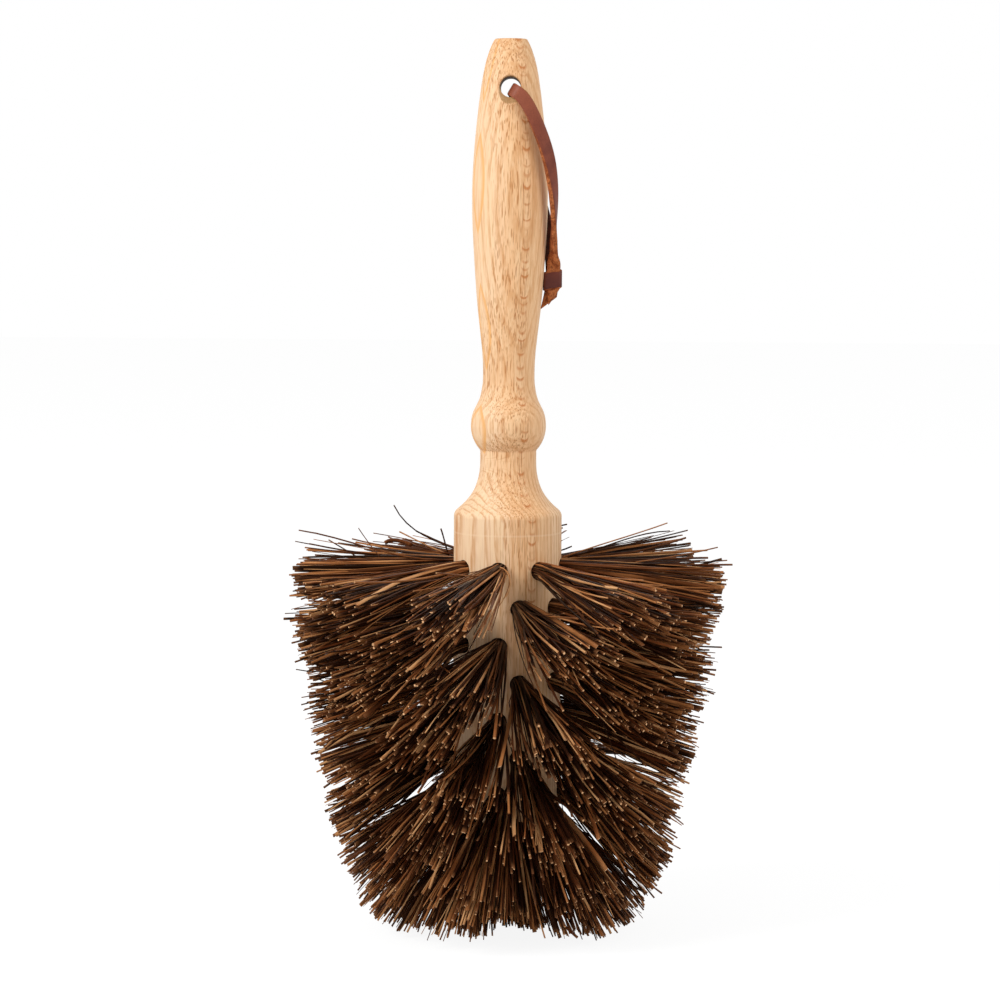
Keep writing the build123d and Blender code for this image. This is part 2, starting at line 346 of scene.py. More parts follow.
def makeBand():
    # a closed loop of leather, a little higher at its right side
    wide, deep = (size / 2 for size in bandSet["inside"])
    wall, corner = bandSet["wall"], bandSet["cornerRound"]
    loops = []
    for outward in (0.05, wall):
        loop = []
        for cornerX, cornerY, start in ((1, 1, 0), (-1, 1, 90), (-1, -1, 180), (1, -1, 270)):
            r = max(corner - (wall - outward), 0.25)
            cx = cornerX * (wide + outward - r)
            cy = cornerY * (deep + outward - r)
            for step in range(5):
                angle = math.radians(start + 22.5 * step)
                loop.append((cx + r * math.cos(angle), cy + r * math.sin(angle)))
        loops.append(loop)
    x0, y0, drop0 = bandSet["centre"]
    verts, quads = [], []
    count = len(loops[0])
    layers = []
    half = bandSet["height"] / 2
    # the wall's section: share of the way out, share of the half height
    profile = [(0, -1.0), (0, 1.0), (0.6, 1.03), (1, 0.9), (1, 0.45)]
    profile += [(1, 0), (1, -0.45), (1, -0.9), (0.6, -1.03)]
    for outward, level in profile:
        layer = []
        for (xi, yi), (xo, yo) in zip(*loops):
            x = xi + (xo - xi) * outward
            y = yi + (yo - yi) * outward
            lift = bandSet["tilt"] * x + 0.12 * math.sin(3 * math.atan2(y, x)) * (1 if level > 0 else 0.6)
            layer.append(fromHole(x0 + x, y0 + y, drop0 - level * half - lift * 0.5))
        layers.append(layer)
    for layer in layers:
        verts += layer
    for k in range(len(layers)):
        below = k * count
        above = ((k + 1) % len(layers)) * count
        for j in range(count):
            n = (j + 1) % count
            quads.append((below + j, above + j, above + n, below + n))
    mesh = bpy.data.meshes.new("leatherBand")
    mesh.from_pydata(verts, [], quads)
    for polygon in mesh.polygons:
        polygon.use_smooth = True
        polygon.material_index = 0 if 3 * count <= polygon.index < 7 * count else 1
    band = bpy.data.objects.new("leatherBand", mesh)
    bpy.context.collection.objects.link(band)
    return band


band = makeBand()
band.data.materials.append(smoothSide)
band.data.materials.append(fleshSide)
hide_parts("thong_band")
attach(band, "loop")
fromHole(16.5, 0.2, 75.6)
print("band made")


# palm fibre: rings of tufts, each ring one piece of fine stiff fibres; a hole's tilt, the tufts'
# lean below the level and the way that the front tuft points sideways are in degrees
rings = [
    dict(node="tufts_row_1", height=139.2, tilt=2, lean=4.5, frontAim=-10),
    dict(node="tufts_row_2", height=125.05, tilt=3, lean=6.5, frontAim=9),
    dict(node="tufts_row_3", height=110.9, tilt=5, lean=9, frontAim=-10),
    dict(node="tufts_row_4", height=96.75, tilt=8, lean=13, frontAim=4),
    dict(node="tufts_row_5", height=82.6, tilt=12, lean=19, frontAim=-8),
    dict(node="tufts_row_6", height=68.45, tilt=18, lean=26, frontAim=0),
    dict(node="tufts_row_7", height=54.3, tilt=28, lean=36, frontAim=-11),
]
for number, ring in enumerate(rings):
    turn = 14.0 if number % 2 else -8.5
    ring.update(tufts=8, turn=turn, radius=20.4, droop=8.2, sideFan=21, upFan=7.0)
rings[6].update(upFan=8.5)
endRing = dict(node="tufts_end_ring", height=41.8, tilt=48, lean=54, frontAim=10)
endRing.update(tufts=8, turn=14.0, radius=18.1, droop=8.2, sideFan=22, upFan=12)
centreRing = dict(node="tufts_centre", height=40.0, tilt=84, lean=84, frontAim=0)
centreRing.update(tufts=4, turn=-8.5, radius=6.3, droop=0.0, sideFan=19, upFan=15)
rings += [endRing, centreRing]
for ring in rings:
    ring.update(frontSpread=0.95, backSpread=1.0, wild=2.2, kink=12.0, cling=0.55)
rings[0].update(upFan=6.5, frontSpread=0.76, backSpread=0.42, wild=1.2, kink=5.0)
rings[6].update(cling=0.66)
endRing.update(cling=0.7)
fibreSet = dict(
    perTuft=104,
    clumps=10,
    bundleRadius=3.1,
    thickness=(0.5, 1.5),
    fineShare=0.25,
    fineThickness=(0.28, 0.5),
    flatShare=0.05,
    flatWidth=2.2,
    flatThickness=0.5,
    bend=5.0,
    kinkShare=0.2,
    straighten=0.45,
    turnOver=9.0,
    insideHole=6.0,
    sides=5,
    taper=0.85,
    shares=[0, 0.05, 0.13, 0.25, 0.4, 0.56, 0.72, 0.87, 1],
    looseShare=0.2,
    looseSpread=0.34,
    heldSpread=0.1,
    wildShare=0.05,
    shortShare=0.2,
    shortBy=7.0,
    longShare=0.02,
    longBy=(1.5, 3.5),
    shortest=14,
    longest=120.0,
    step=0.5,
    goldenTurn=2.39996,
)
# half width of the trimmed head at each height, both in millimetres
headShape = dict(
    height=[0, 1.6, 11, 20, 30, 39, 49, 58, 67.5, 77, 86, 95, 105, 114, 123, 142, 160],
    radius=[40, 44, 56.5, 58.5, 63, 65.5, 67, 68.4, 71.2, 73, 75.2, 76, 77.7, 80, 81.5, 81.5, 81.5],
    bottom=0.4,
    frontRise=(0.3, 7.5),
    frontRiseAt=40.0,
    middleRise=7.0,
    middleAt=6.0,
    middleWidth=8.0,
)


def growRing(ring, seed):
    # centre lines, thicknesses and tones of all the fibres in one ring, in millimetres
    rng = np.random.default_rng(seed)
    tufts, perTuft = ring["tufts"], fibreSet["perTuft"]
    count = tufts * perTuft
    right = np.array([0.0, 1.0, 0.0])

    # the way each tuft points: drooping more towards the front and higher at the back right
    azimuth = ring["turn"] + np.arange(tufts) * 360 / tufts
    ahead, toRight = np.cos(np.radians(azimuth)), np.sin(np.radians(azimuth))
    droop = ring["droop"] * np.where(ahead > 0, ahead, ahead * (0.15 + np.maximum(toRight, 0)))
    lean = ring["lean"] + droop + rng.normal(0, 1.3, tufts)
    aim = rng.normal(0, 3.0, tufts)
    aim[0] = ring["frontAim"]
    spread = rng.uniform(0.85, 1.12, tufts)
    spread[0] = ring["frontSpread"]
    spread[tufts // 2] = ring["backSpread"]
    tuft = np.repeat(np.arange(tufts), perTuft)
    leanTo = np.radians(lean)[tuft]
    aimTo = np.tan(np.radians(aim))[tuft]
    outward = np.stack([np.cos(leanTo), aimTo * np.cos(leanTo), -np.sin(leanTo)], axis=1)
    upward = np.stack([np.sin(leanTo), 0 * leanTo, np.cos(leanTo)], axis=1)
    tilt = math.radians(ring["tilt"])
    hole = np.array([math.cos(tilt), 0, -math.sin(tilt)])
    holeUp = np.array([math.sin(tilt), 0, math.cos(tilt)])

    # each fibre's place in the round bundle
    number = np.tile(np.arange(perTuft), tufts)
    spin = number * fibreSet["goldenTurn"] + rng.uniform(-0.3, 0.3, count)
    out = np.sqrt((number + 0.5) / perTuft)
    p, q = out * np.cos(spin), out * np.sin(spin)

    # fibres cling together in clumps with gaps between them, and a few stand loose
    clumps = fibreSet["clumps"]
    clumpOut = np.sqrt((np.arange(clumps) + 0.6) / clumps)
    clumpSpin = np.arange(clumps) * fibreSet["goldenTurn"] + rng.uniform(0, 6.28, (tufts, 1))
    clumpP = clumpOut * np.cos(clumpSpin) + rng.normal(0, 0.1, (tufts, clumps))
    clumpQ = clumpOut * np.sin(clumpSpin) + rng.normal(0, 0.1, (tufts, clumps))
    apart = np.hypot(p[:, None] - clumpP[tuft], q[:, None] - clumpQ[tuft])
    clump = apart.argmin(axis=1)
    heldP, heldQ = clumpP[tuft, clump], clumpQ[tuft, clump]
    isLoose = rng.random(count) < fibreSet["looseShare"]
    loose = np.where(isLoose, fibreSet["looseSpread"], fibreSet["heldSpread"])
    apartP, apartQ = (1 - ring["cling"]) * (p - heldP), (1 - ring["cling"]) * (q - heldQ)
    sideways = ring["sideFan"] * spread[tuft] * (heldP + apartP + rng.normal(0, 1, count) * loose)
    upwards = ring["upFan"] * (heldQ + apartQ + rng.normal(0, 1.6, count) * loose)
    wild = rng.random(count) < fibreSet["wildShare"]
    upwards = np.where(wild, upwards * ring["wild"], upwards)
    fan = np.tan(np.radians(sideways))[:, None] * right + np.tan(np.radians(upwards))[:, None] * upward
    root = np.array([ring["radius"], 0, ring["height"]])
    root = root + fibreSet["bundleRadius"] * (p[:, None] * right + q[:, None] * holeUp)

    # a slight bend one way, and a kink in some
    bendTurn = rng.uniform(0, 2 * math.pi, count)
    bendSize = np.tan(np.radians(rng.normal(0, fibreSet["bend"], count)))
    bend = (np.cos(bendTurn) * bendSize)[:, None] * right + (np.sin(bendTurn) * bendSize)[:, None] * upward
    kinked = rng.random(count) < fibreSet["kinkShare"]
    kinkAt = rng.uniform(12, 48, count)
    kinkTurn = rng.uniform(0, 2 * math.pi, count)
    kinkSize = np.where(kinked, np.tan(np.radians(rng.normal(0, ring["kink"], count))), 0)
    kink = (np.cos(kinkTurn) * kinkSize)[:, None] * right + (np.sin(kinkTurn) * kinkSize)[:, None] * upward

    step = fibreSet["step"]
    s = np.arange(0.0, fibreSet["longest"], step)
    away = np.clip(s / fibreSet["turnOver"], 0, 1)
    away = (away * away * (3 - 2 * away))[None, :, None]
    closing = (1 - fibreSet["straighten"] * np.clip(s / 70, 0, 1))[None, :, None]
    heading = outward[:, None, :] + fan[:, None, :] * closing + bend[:, None, :] * (s / 40)[None, :, None]
    heading = heading + kink[:, None, :] * (s[None, :] > kinkAt[:, None])[:, :, None]
    early = hole + fan * 0.5
    heading = early[:, None, :] * (1 - away) + heading * away
    heading /= np.linalg.norm(heading, axis=2)[:, :, None]
    line = root[:, None, :] + np.cumsum(heading, axis=1) * step - heading[:, :1, :] * step

    # trimmed where they reach the head's outside, some shorter and a few longer
    reached = np.hypot(line[:, :, 0], line[:, :, 1])
    limit = np.interp(line[:, :, 2], headShape["height"], headShape["radius"])
    clumpMiss = rng.normal(0, 1.3, (tufts, clumps))[tuft, clump]
    miss = rng.normal(-0.9, 1.1, count) + clumpMiss
    short = rng.random(count) < fibreSet["shortShare"]
    miss = np.where(short, -rng.exponential(fibreSet["shortBy"], count), miss)
    long = rng.random(count) < fibreSet["longShare"]
    miss = np.where(long, rng.uniform(*fibreSet["longBy"], count), miss)
    miss = np.minimum(miss, fibreSet["longBy"][1])
    lowest = headShape["bottom"] + np.abs(rng.normal(0, 1.6, count)) + np.maximum(-miss, 0) * 0.5
    rise = np.random.default_rng(seed + 50).uniform(*headShape["frontRise"], (tufts, clumps))[tuft, clump]
    toFront = np.clip(ahead, 0, 1)[tuft][:, None]
    lowest = lowest[:, None] + rise[:, None] * toFront * reached / headShape["frontRiseAt"]
    fromLeft = line[:, :, 0] * toRight[tuft][:, None] + line[:, :, 1] * ahead[tuft][:, None]
    fromMiddle = (fromLeft - headShape["middleAt"]) / headShape["middleWidth"]
    lowest = lowest + headShape["middleRise"] * toFront * np.exp(-fromMiddle * fromMiddle)
    outside = (reached > limit + miss[:, None]) | (line[:, :, 2] < lowest)
    outside[:, -1] = True
    reach = np.maximum(outside.argmax(axis=1), int(fibreSet["shortest"] / step))
    picked = np.round(reach[:, None] * np.array(fibreSet["shares"])[None, :]).astype(int)
    centres = line[np.arange(count)[:, None], picked]
    inside = (root - hole * fibreSet["insideHole"])[:, None, :]
    centres = np.concatenate([inside, centres], axis=1)

    low, high = fibreSet["thickness"]
    wide = low + (high - low) * rng.beta(1.8, 2.7, count)
    fine = rng.random(count) < fibreSet["fineShare"]
    wide = np.where(fine, rng.uniform(*fibreSet["fineThickness"], count), wide)
    thick = wide * rng.uniform(0.6, 1.0, count)
    flat = rng.random(count) < fibreSet["flatShare"]
    wide = np.where(flat, fibreSet["flatWidth"], wide)
    thick = np.where(flat, fibreSet["flatThickness"], thick)
    clumpTone = rng.normal(0, 0.07, (tufts, clumps))[tuft, clump]
    tone = np.clip(rng.beta(0.88, 1.22, count) + clumpTone, 0, 1)
    hue = rng.random(count)

    turn = np.radians(azimuth - 90)[tuft]
    cosTurn, sinTurn = np.cos(turn)[:, None], np.sin(turn)[:, None]
    x = centres[:, :, 0] * cosTurn - centres[:, :, 1] * sinTurn
    y = centres[:, :, 0] * sinTurn + centres[:, :, 1] * cosTurn
    centres = np.stack([x, y, centres[:, :, 2]], axis=2)
    return centres, wide, thick, tone, hue, rng


# single fibres that stand away from the head as in the photograph, drawn through a few places;
# each is a width, a tone and the places
strays = [
    (0.6, 0.25, [
        (-13.0, 16, 140.8), (-20.9, 17, 144.0), (-36.2, 15, 151.4), (-40.5, 14, 155.8),
        (-43.9, 13, 160.9),
    ]),
    (0.8, 0.5, [(-18.7, 5, 141.8), (-52.4, 0, 145.8), (-63.4, 0, 148.9), (-79.3, 0, 152.3)]),
    (0.5, 0.4, [(-48.5, 8, 142.3), (-58.8, 8, 143.5), (-70.0, 8, 145.2), (-81.3, 8, 147.2)]),
    (0.6, 0.5, [(-48.5, -4, 143.0), (-51.5, -4, 146.8), (-54.0, -4, 150.2), (-56.4, -4, 153.7)]),
    (0.8, 0.55, [(-20.4, 12, 142.5), (-33.4, 10, 144.0), (-46.0, 10, 145.5), (-59.7, 10, 148.2)]),
    (0.9, 0.3, [(-22.0, 12, 140.0), (-23.1, 12, 142.9), (-24.1, 12, 146.4), (-25.8, 12, 152.2)]),
    (0.9, 0.85, [(-16.0, 20, 139.5), (-22.9, 20, 141.4), (-32.2, 22, 145.0), (-42.3, 24, 149.7)]),
    (1.0, 0.35, [(-15.0, 20, 142.0), (-21.0, 22, 143.8), (-30.0, 26, 147.1), (-36.0, 28, 149.6)]),
    (0.9, 0.5, [(-18.0, 20, 140.0), (-25.0, 20, 142.0), (-31.0, 22, 143.6), (-40.0, 24, 147.0)]),
    (1.6, 0.0, [(-40.0, -5, 122.5), (-70.4, -5, 120.2), (-79.9, -5, 119.2), (-84.6, -5, 119.0)]),
    (0.7, 0.05, [(-40.0, -5, 102.0), (-66.5, -5, 99.4), (-75.0, -5, 99.0), (-79.9, -5, 99.7)]),
    (1.2, 0.8, [(-40.0, -5, 130.5), (-66.7, -5, 129.0), (-72.4, -5, 128.4), (-82.4, -5, 127.8)]),
    (0.8, 0.8, [(20.8, 10, 141.7), (32.6, 12, 145.6), (46.8, 14, 150.0), (61.0, 16, 154.7)]),
    (0.6, 0.2, [(22.8, 10, 141.7), (34.6, 12, 145.0), (46.8, 14, 149.0), (62.0, 16, 151.6)]),
    (0.9, 0.6, [(20.4, 8, 138.5), (50.3, 5, 140.9), (68.2, 5, 143.9), (79.9, 5, 146.6)]),
    (0.9, 0.4, [(-15.0, 17, 140.5), (-25.0, 13, 142.6), (-32.0, 10, 144.8), (-38.0, 8, 146.7)]),
    (2.6, 0.5, [(-36.6, 8, 146.2), (-40.0, 8, 147.4), (-43.5, 8, 148.0), (-47.0, 8, 147.0)]),
    (0.7, 0.1, [(3.0, 19, 140.0), (12.0, 26, 147.0), (19.5, 26, 152.2), (22.6, 26, 152.9)]),
    (0.7, 0.1, [(3.0, 19, 139.0), (12.0, 24, 141.0), (20.5, 26, 142.8), (24.5, 26, 144.4)]),
    (0.7, 0.9, [(-3.5, -25.0, 141.0), (0.6, -31.0, 139.8), (1.6, -33.5, 136.0), (-0.9, -36.0, 131.0)]),
    (0.6, 0.8, [(-2.6, -25.0, 140.4), (1.4, -32.0, 138.0), (0.2, -35.0, 133.0), (-2.4, -38.0, 128.6)]),
]
# thin bundles beside the core on its right, each by its start and height
thinBundles = [(18.0, 119.0), (18.0, 91.5), (20.0, 78.5)]
bundleRandom = np.random.default_rng(77)
for startX, startZ in thinBundles:
    for number in range(12):
        y = bundleRandom.uniform(-3, 6)
        z = startZ + bundleRandom.uniform(-4.5, 3.5)
        slope = bundleRandom.uniform(-0.3, -0.08)
        places = [(startX + far, y - far * 0.12, z + far * slope) for far in (0, 14, 28, 42)]
        width = bundleRandom.uniform(0.6, 1.3)
        tone = bundleRandom.uniform(0.0, 0.5)
        strays.append((width, tone, places))
# these have a sharp kink at each place
bentStrays = [
    (0.6, 0.85, [(10.5, -18.0, 137.5), (19.0, -30.0, 132.3), (28.1, -45.0, 128.8), (28.6, -46.0, 124.6)]),
    (0.6, 0.8, [(13.0, -18.0, 140.5), (22.0, -32.0, 140.0), (24.0, -33.0, 136.5), (33.0, -42.0, 136.0)]),
    (0.7, 0.75, [
        (-30.0, -40.0, 117.0), (-22.0, -47.0, 112.0), (-24.5, -50.0, 108.5),
        (-20.0, -54.0, 106.0),
    ]),
]


def growStrays():
    shares = np.linspace(0, 1, len(fibreSet["shares"]) + 1)
    centres = []
    for number, (width, tone, places) in enumerate(strays + bentStrays):
        x, y, z = np.array(places, dtype=float).T
        ahead = np.concatenate([[0], np.cumsum(np.hypot(np.hypot(np.diff(x), np.diff(y)), np.diff(z)))])
        ahead /= ahead[-1]
        if number >= len(strays):
            line = [np.interp(shares, ahead, part) for part in (x, y, z)]
        else:
            line = [np.polyval(np.polyfit(ahead, part, 3), shares) for part in (x, y, z)]
        centres.append(np.stack(line, axis=1))
    wide = np.array([stray[0] for stray in strays + bentStrays])
    tone = np.array([stray[1] for stray in strays + bentStrays])
    hue = np.linspace(0.1, 0.9, len(wide))
    return np.array(centres), wide, wide * 0.7, tone, hue


def fibreMesh(name, centres, wide, thick, tone, hue, rng):
    # every fibre is a thin closed tube with a cut end of its own
    count, points = centres.shape[:2]
    sides = fibreSet["sides"]
    ahead = np.gradient(centres, axis=1)
    ahead /= np.linalg.norm(ahead, axis=2)[:, :, None]
    hint = rng.normal(size=(count, 1, 3))
    first = np.cross(ahead, hint)
    first /= np.linalg.norm(first, axis=2)[:, :, None]
    second = np.cross(ahead, first)
    share = np.linspace(0, 1, points)
    taper = 1 + (fibreSet["taper"] - 1) * share
    uneven = 1 + rng.uniform(-0.09, 0.09, (count, points))
    angle = np.arange(sides) * 2 * math.pi / sides
    a = (wide[:, None] / 2 * taper * uneven)[:, :, None, None] * np.cos(angle)[None, None, :, None]
    b = (thick[:, None] / 2 * taper * uneven)[:, :, None, None] * np.sin(angle)[None, None, :, None]
    rim = centres[:, :, None, :] + first[:, :, None, :] * a + second[:, :, None, :] * b
    cap = rim[:, -1:, :, :]
    verts = np.concatenate([rim, cap], axis=1).reshape(-1, 3) * mm
    perFibre = (points + 1) * sides

    k = np.arange(points - 1)[:, None]
    j = np.arange(sides)[None, :]
    n = (j + 1) % sides
    quads = np.stack([k * sides + j, k * sides + n, (k + 1) * sides + n, (k + 1) * sides + j], axis=2)
    quads = quads.reshape(-1, 4)
    base = np.arange(count)[:, None, None] * perFibre
    allQuads = (quads[None, :, :] + base).reshape(-1, 4)
    tip = (np.arange(sides) + points * sides)[None, :] + np.arange(count)[:, None] * perFibre
    foot = np.arange(sides)[::-1][None, :] + np.arange(count)[:, None] * perFibre
    corners = np.concatenate([allQuads.ravel(), tip.ravel(), foot.ravel()])
    sizes = np.concatenate([np.full(len(allQuads), 4), np.full(2 * count, sides)])
    starts = np.concatenate([[0], np.cumsum(sizes)[:-1]])

    mesh = bpy.data.meshes.new(name)
    mesh.vertices.add(len(verts))
    mesh.vertices.foreach_set("co", verts.ravel())
    mesh.loops.add(len(corners))
    mesh.loops.foreach_set("vertex_index", corners.astype(np.int32))
    mesh.polygons.add(len(sizes))
    mesh.polygons.foreach_set("loop_start", starts.astype(np.int32))
    mesh.update(calc_edges=True)
    smooth = np.concatenate([np.full(len(allQuads), True), np.full(2 * count, False)])
    mesh.polygons.foreach_set("use_smooth", smooth)

    # what the colour follows: the fibre's tone and hue, the way along it, and its cut end
    paint = np.zeros((count, points + 1, sides, 4), dtype=np.float32)
    paint[..., 0] = tone[:, None, None]
    paint[..., 1] = hue[:, None, None]
    paint[..., 2] = np.append(share, 1.0)[None, :, None]
    paint[:, -1, :, 3] = 1.0
    layer = mesh.color_attributes.new("fibrePaint", "FLOAT_COLOR", "POINT")
    layer.data.foreach_set("color", paint.ravel())
    mesh.validate()
    return mesh


def palmFibre():
    shader = Shader("palmFibre")
    paint = shader.node("Attribute", dict(attribute_name="fibrePaint"))
    cut = shader.node("Attribute", dict(attribute_name="fibrePaint"), output=3)
    tone = shader.node("SeparateColor", {}, dict(Color=paint))
    hue = tone.output(1)
    along = tone.output(2)
    patchPlace = shader.node("CombineXYZ", {}, dict(X=tone * 37.0, Y=hue * 53.0, Z=along * 5.0))
    patches = shader.noise(patchPlace, 1.0, 2.0)
    level = (tone + (patches - 0.5) * 0.55).calc("MULTIPLY", 1.0, clamp=True)
    stops = [
        (0.0, (24, 11, 6)),
        (0.3, (48, 23, 12)),
        (0.55, (100, 55, 28)),
        (0.8, (176, 114, 66)),
        (1.0, (228, 174, 120)),
    ]
    colour = shader.node("ValToRGB", dict(stops=stops), dict(Fac=level))
    colour = shader.mix(hue.between(0.6, 1.0) * 0.4, colour, rgb((128, 58, 22)), "SOFT_LIGHT")
    # frayed paler tips, and cut ends from brown to pale
    colour = shader.mix(along.between(0.955, 0.99) * (0.15 + hue * 0.35), colour, rgb((168, 112, 70)))
    # painted shade: darker towards the roots, but for the top row; and a little redder and darker low down
    place = shader.node("TexCoord", output=3)
    z = shader.node("SeparateXYZ", {}, dict(Vector=place)).output(2)
    paintedRootShade = along.between(0.55, 0.08) * z.between(0.138, 0.127) * 0.7
    colour = shader.mix(paintedRootShade, colour, rgb((24, 11, 7)))
    colour = shader.mix(z.between(0.075, 0.035) * 0.16, colour, rgb((44, 16, 10)))
    cutColour = shader.mix(hue.between(0.2, 1.0), rgb((104, 60, 34)), rgb((232, 182, 134)))
    colour = shader.mix(cut, colour, cutColour)
    fine = shader.noise(place, 3500.0, 2.0)
    bump = shader.node("Bump", {}, dict(Strength=0.35, Distance=0.0001, Height=fine))
    principled = {"Base Color": colour, "Roughness": 0.34 + patches * 0.2}
    principled.update({"Specular IOR Level": 0.2, "Specular Tint": rgb((245, 180, 125))})
    return shader.finish(principled, bump)


fibreFinish = palmFibre()
for number, ring in enumerate(rings):
    grown = growRing(ring, 100 + number)
    if number == 0:
        *fibreParts, rng = grown
        grown = [np.concatenate(pair) for pair in zip(fibreParts, growStrays())] + [rng]
    name = ring["node"].replace("tufts", "fibres")
    fibres = bpy.data.objects.new(name, fibreMesh(name, *grown))
    bpy.context.collection.objects.link(fibres)
    fibres.data.materials.append(fibreFinish)
    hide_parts(ring["node"])
    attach(fibres, "brush")
print("fibres made")


# beech: thin growth rings round a pith behind the handle, which run flat through the surface along
# the front right of the grip and along the left of the core; lengths in metres
woodGrain = dict(
    pith=(-0.0198, 0.0545),
    corePith=(0.0475, 0.0333),
    coreStep=0.0114,
    coreBelow=(0.182, 0.175),
    shadeBelow=(0.134, 0.118),
    flatSide=(0.888, 0.46),
    secondSide=(0.53, -0.848),
    secondRidge=0.0015,
    secondWidth=0.0064,
    ringWidth=0.0018,
    ladderStep=0.0034,
    ladderWidth=0.0015,
    # the long pointed loops on the left side: their middle's height, half height and half width
    loops=[
        (0.2836, 0.0185, 0.0038),
        (0.2300, 0.0160, 0.0036),
        (0.3290, 0.0150, 0.0026),
        (0.1915, 0.0090, 0.0050),
    ],
    hole=0.3193,
    radiusAtHole=0.0111,
    narrowing=0.17,
    turningLine=0.1525,
)


def beech():
    shader = Shader("beech")
    place = shader.node("TexCoord", output=3)
    x = shader.node("SeparateXYZ", {}, dict(Vector=place))
    y = x.output(1)
    z = x.output(2)
    slow = shader.noise(shader.stretch(place, (34.0, 34.0, 8.0)), 1.0, 2.0)
    wobble = shader.noise(shader.stretch(place, (230.0, 230.0, 90.0)), 1.0, 3.0)
    flecks = shader.noise(shader.stretch(place, (2500.0, 2500.0, 175.0)), 1.0, 1.0)
    longFlecks = shader.noise(shader.stretch(place, (1700.0, 1700.0, 95.0)), 1.0, 1.0)
    streaks = shader.noise(shader.stretch(place, (1500.0, 1500.0, 40.0)), 1.0, 2.0)
    wideStreaks = shader.noise(shader.stretch(place, (420.0, 420.0, 9.0)), 1.0, 2.0)
    breaks = shader.noise(shader.stretch(place, (600.0, 600.0, 150.0)), 1.0, 2.0)

    # distance from the pith, counted in growth rings: each ends in a thin darker line
    dx = x - woodGrain["pith"][0]
    dy = y - woodGrain["pith"][1]
    coreX = x - woodGrain["corePith"][0]
    coreY = y - woodGrain["corePith"][1]
    low = z.between(*woodGrain["coreBelow"])
    second = x * woodGrain["secondSide"][0] + y * woodGrain["secondSide"][1]
    ridge = second.calc("ABSOLUTE").between(0.0, woodGrain["secondWidth"], 1.0, 0.0)
    coreDistance = (coreX * coreX + coreY * coreY).calc("SQRT") + woodGrain["coreStep"]
    distance = (dx * dx + dy * dy).calc("SQRT") * (1.0 - low) + coreDistance * low
    distance = distance + ridge * (1.0 - low) * woodGrain["secondRidge"]
    distance = distance + (slow - 0.5) * 0.008 + (wobble - 0.5) * 0.0006
    ringPlace = (distance / woodGrain["ringWidth"]).calc("FRACT")
    lateWood = ringPlace.between(0.5, 0.9) * ringPlace.between(0.92, 1.0, 1.0, 0.0)
    lateWood = lateWood * (1.0 - low * (1.0 - low) * 4.0)

    # short arcs one above the other where the rings run flat
    across = x * woodGrain["flatSide"][0] + y * woodGrain["flatSide"][1]
    shift = across / woodGrain["ladderWidth"]
    upAndDown = shader.noise(shader.stretch(place, (2.0, 2.0, 65.0)), 1.0, 1.0)
    gaps = shader.noise(shader.stretch(place, (2.0, 2.0, 210.0)), 1.0, 1.0)
    rung = (z / woodGrain["ladderStep"] - shift * shift * 0.26 + upAndDown * 3.4).calc("FRACT")
    rungs = rung.between(0.5, 0.78) * rung.between(0.86, 1.0, 1.0, 0.0)
    rungs = rungs * shift.calc("ABSOLUTE").between(0.75, 1.3, 1.0, 0.0)
    rungs = rungs * gaps.between(0.45, 0.57, 0.15, 1.0)
    beside = (shift.calc("ABSOLUTE") - 1.55).calc("ABSOLUTE").between(0.05, 0.3, 1.0, 0.0)

    # long pointed loops where the rings run flat on the left
    loops, calm = 0.0, 0.0
    for middle, halfHeight, halfWidth in woodGrain["loops"]:
        up = (z - middle) / halfHeight
        reach = second.calc("ABSOLUTE") / halfWidth + up * up
        loops = reach.between(0.5, 0.98) * reach.between(1.0, 1.15, 1.0, 0.0) + loops
        calm = reach.between(0.9, 1.3, 1.0, 0.0) + calm
    leftStripe = (second + 0.0042).calc("ABSOLUTE").between(0.0006, 0.0016, 1.0, 0.0)
    leftStripe = leftStripe * z.between(0.163, 0.157)

    # paler where the growth rings stand upright to the surface
    paler = across.calc("ABSOLUTE").between(0.004, 0.0135)
    colour = shader.mix(paler, rgb((238, 190, 142)), rgb((248, 214, 176)))
    colour = shader.mix(slow.between(0.35, 0.7) * 0.3, colour, rgb((226, 175, 124)))
    colour = shader.mix(wideStreaks.between(0.4, 0.7) * 0.45, colour, rgb((246, 209, 164)))
    colour = shader.mix(streaks.between(0.48, 0.66) * 0.45, colour, rgb((216, 156, 100)))
    colour = shader.mix(loops * 0.85, colour, rgb((236, 172, 100)))
    colour = shader.mix(leftStripe * 0.6, colour, rgb((216, 146, 96)))
    lateWood = lateWood * breaks.between(0.3, 0.55, 0.2, 1.0) * (1.0 - calm * 0.8)
    colour = shader.mix(lateWood * low.between(0.0, 1.0, 0.48, 0.62), colour, rgb((204, 140, 82)))
    colour = shader.mix(rungs * 0.85, colour, rgb((196, 116, 54)))
    colour = shader.mix(beside * breaks.between(0.35, 0.6) * 0.4, colour, rgb((202, 138, 80)))
    leftSide = across.between(-0.0126, -0.0096, 0.1, 1.0) * across.between(-0.0004, 0.0026, 1.0, 0.25)
    colour = shader.mix(flecks.between(0.55, 0.67) * leftSide * 0.85, colour, rgb((186, 124, 70)))
    colour = shader.mix(longFlecks.between(0.64, 0.72) * leftSide * 0.62, colour, rgb((164, 98, 48)))
    colour = shader.mix(flecks.between(0.42, 0.3) * 0.3, colour, rgb((250, 218, 178)))
    # painted shade: a little darker between the tufts
    colour = shader.mix(z.between(*woodGrain["shadeBelow"]) * 0.3, colour, rgb((184, 134, 92)))
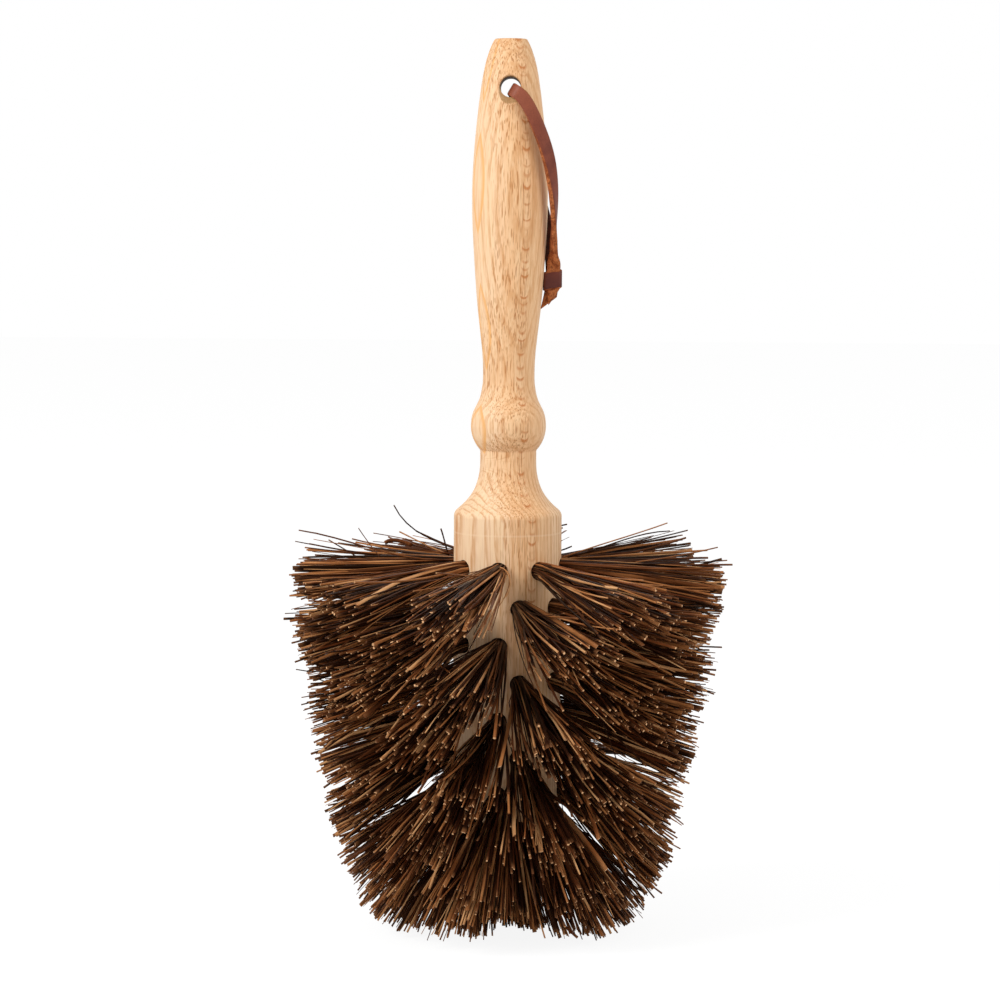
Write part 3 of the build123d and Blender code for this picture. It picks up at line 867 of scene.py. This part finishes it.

    # the hanging hole's wall and countersink are darker, partly as end grain and partly as painted shade,
    # the faint line of the lathe tool is paler
    height = z - woodGrain["hole"]
    surface = woodGrain["radiusAtHole"] - height * woodGrain["narrowing"]
    depth = surface - (x * x + y * y).calc("SQRT")
    nearHole = (x * x + height * height).calc("SQRT")
    cut = depth.between(0.0001, 0.0004) * nearHole.between(0.0058, 0.0064, 1.0, 0.0)
    colour = shader.mix(cut * 0.7, colour, rgb((184, 144, 94)))
    # painted shade and scorch from the drill: a dark line along the upper inner edge of the hole
    rim = cut * nearHole.between(0.0039, 0.0044, 1.0, 0.0) * height.between(-0.002, 0.001)
    colour = shader.mix(rim * 0.8, colour, rgb((92, 60, 34)))
    turned = (z - woodGrain["turningLine"]).calc("ABSOLUTE").between(0.0002, 0.0005, 1.0, 0.0)
    colour = shader.mix(turned * 0.22, colour, rgb((255, 226, 190)))
    bump = shader.node("Bump", {}, dict(Strength=0.2, Distance=0.0001, Height=flecks))
    return shader.finish({"Base Color": colour, "Roughness": 0.6, "Specular IOR Level": 0.25}, bump)


def anchorWire():
    shader = Shader("anchorWire")
    place = shader.node("TexCoord", output=3)
    drawn = shader.noise(shader.stretch(place, (400.0, 400.0, 4000.0)), 1.0, 2.0)
    colour = shader.mix(drawn, rgb((150, 150, 152)), rgb((196, 196, 198)))
    return shader.finish({"Base Color": colour, "Metallic": 1.0, "Roughness": 0.3 + drawn * 0.2})


def dress(node, material):
    # bodies of the frame keep their shape and only get a finish
    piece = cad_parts[node]
    if not piece.material_slots:
        piece.data.materials.append(material)
    for slot in piece.material_slots:
        slot.material = material


wood = beech()
wire = anchorWire()
dress("handle", wood)
for ring in rings:
    dress(ring["node"].replace("tufts", "anchors"), wire)
print("wood and wire dressed")


# studio: pale floor, soft light from the upper left
studio = dict(
    worldLight=0.5,
    keyPlace=(-1.8, -1.25, 1.7),
    keySize=1.1,
    keyPower=43.0,
    fillPlace=(1.8, -1.2, 1.1),
    fillSize=1.4,
    fillPower=15.0,
    aimHeight=0.16,
    floorGlow=1.12,
    glowShare=0.8,
    floorHalf=6,
)


def areaLight(name, place, size, power):
    data = bpy.data.lights.new(name, "AREA")
    data.size = size
    data.energy = power
    lamp = bpy.data.objects.new(name, data)
    lamp.location = place
    aim = Vector((0, 0, studio["aimHeight"])) - Vector(place)
    lamp.rotation_euler = aim.to_track_quat("-Z", "Y").to_euler()
    bpy.context.collection.objects.link(lamp)


areaLight("keyLight", studio["keyPlace"], studio["keySize"], studio["keyPower"])
areaLight("fillLight", studio["fillPlace"], studio["fillSize"], studio["fillPower"])

worldShader = Shader("studioWorld", bpy.data.worlds)
bpy.context.scene.world = worldShader.material
path = worldShader.node("LightPath")
glossy = path.output("Is Glossy Ray")
through = path.output("Is Transmission Ray")
seen = (path + glossy + through).calc("MINIMUM", 1.0)
strength = studio["worldLight"] + seen * (1 - studio["worldLight"])
sky = worldShader.node("Background", {}, dict(Color=(1, 1, 1, 1), Strength=strength))
worldShader.node("OutputWorld", {}, dict(Surface=sky))

floorShader = Shader("paleFloor")
floorPath = floorShader.node("LightPath")
plain = floorShader.node("BsdfDiffuse", {}, dict(Color=(0.9, 0.9, 0.9, 1)))
glow = floorShader.node("Emission", {}, dict(Color=(1, 1, 1, 1), Strength=studio["floorGlow"]))
mixed = floorShader.node("MixShader", {}, {0: floorPath * studio["glowShare"], 1: plain, 2: glow})
floorShader.node("OutputMaterial", {}, dict(Surface=mixed))
floorMesh = bpy.data.meshes.new("floor")
half = studio["floorHalf"]
floorCorners = [(-half, -half, 0), (half, -half, 0), (half, half, 0), (-half, half, 0)]
floorMesh.from_pydata(floorCorners, [], [(0, 1, 2, 3)])
floorMesh.materials.append(floorShader.material)
floor = bpy.data.objects.new("floor", floorMesh)
bpy.context.collection.objects.link(floor)
print("studio lit")
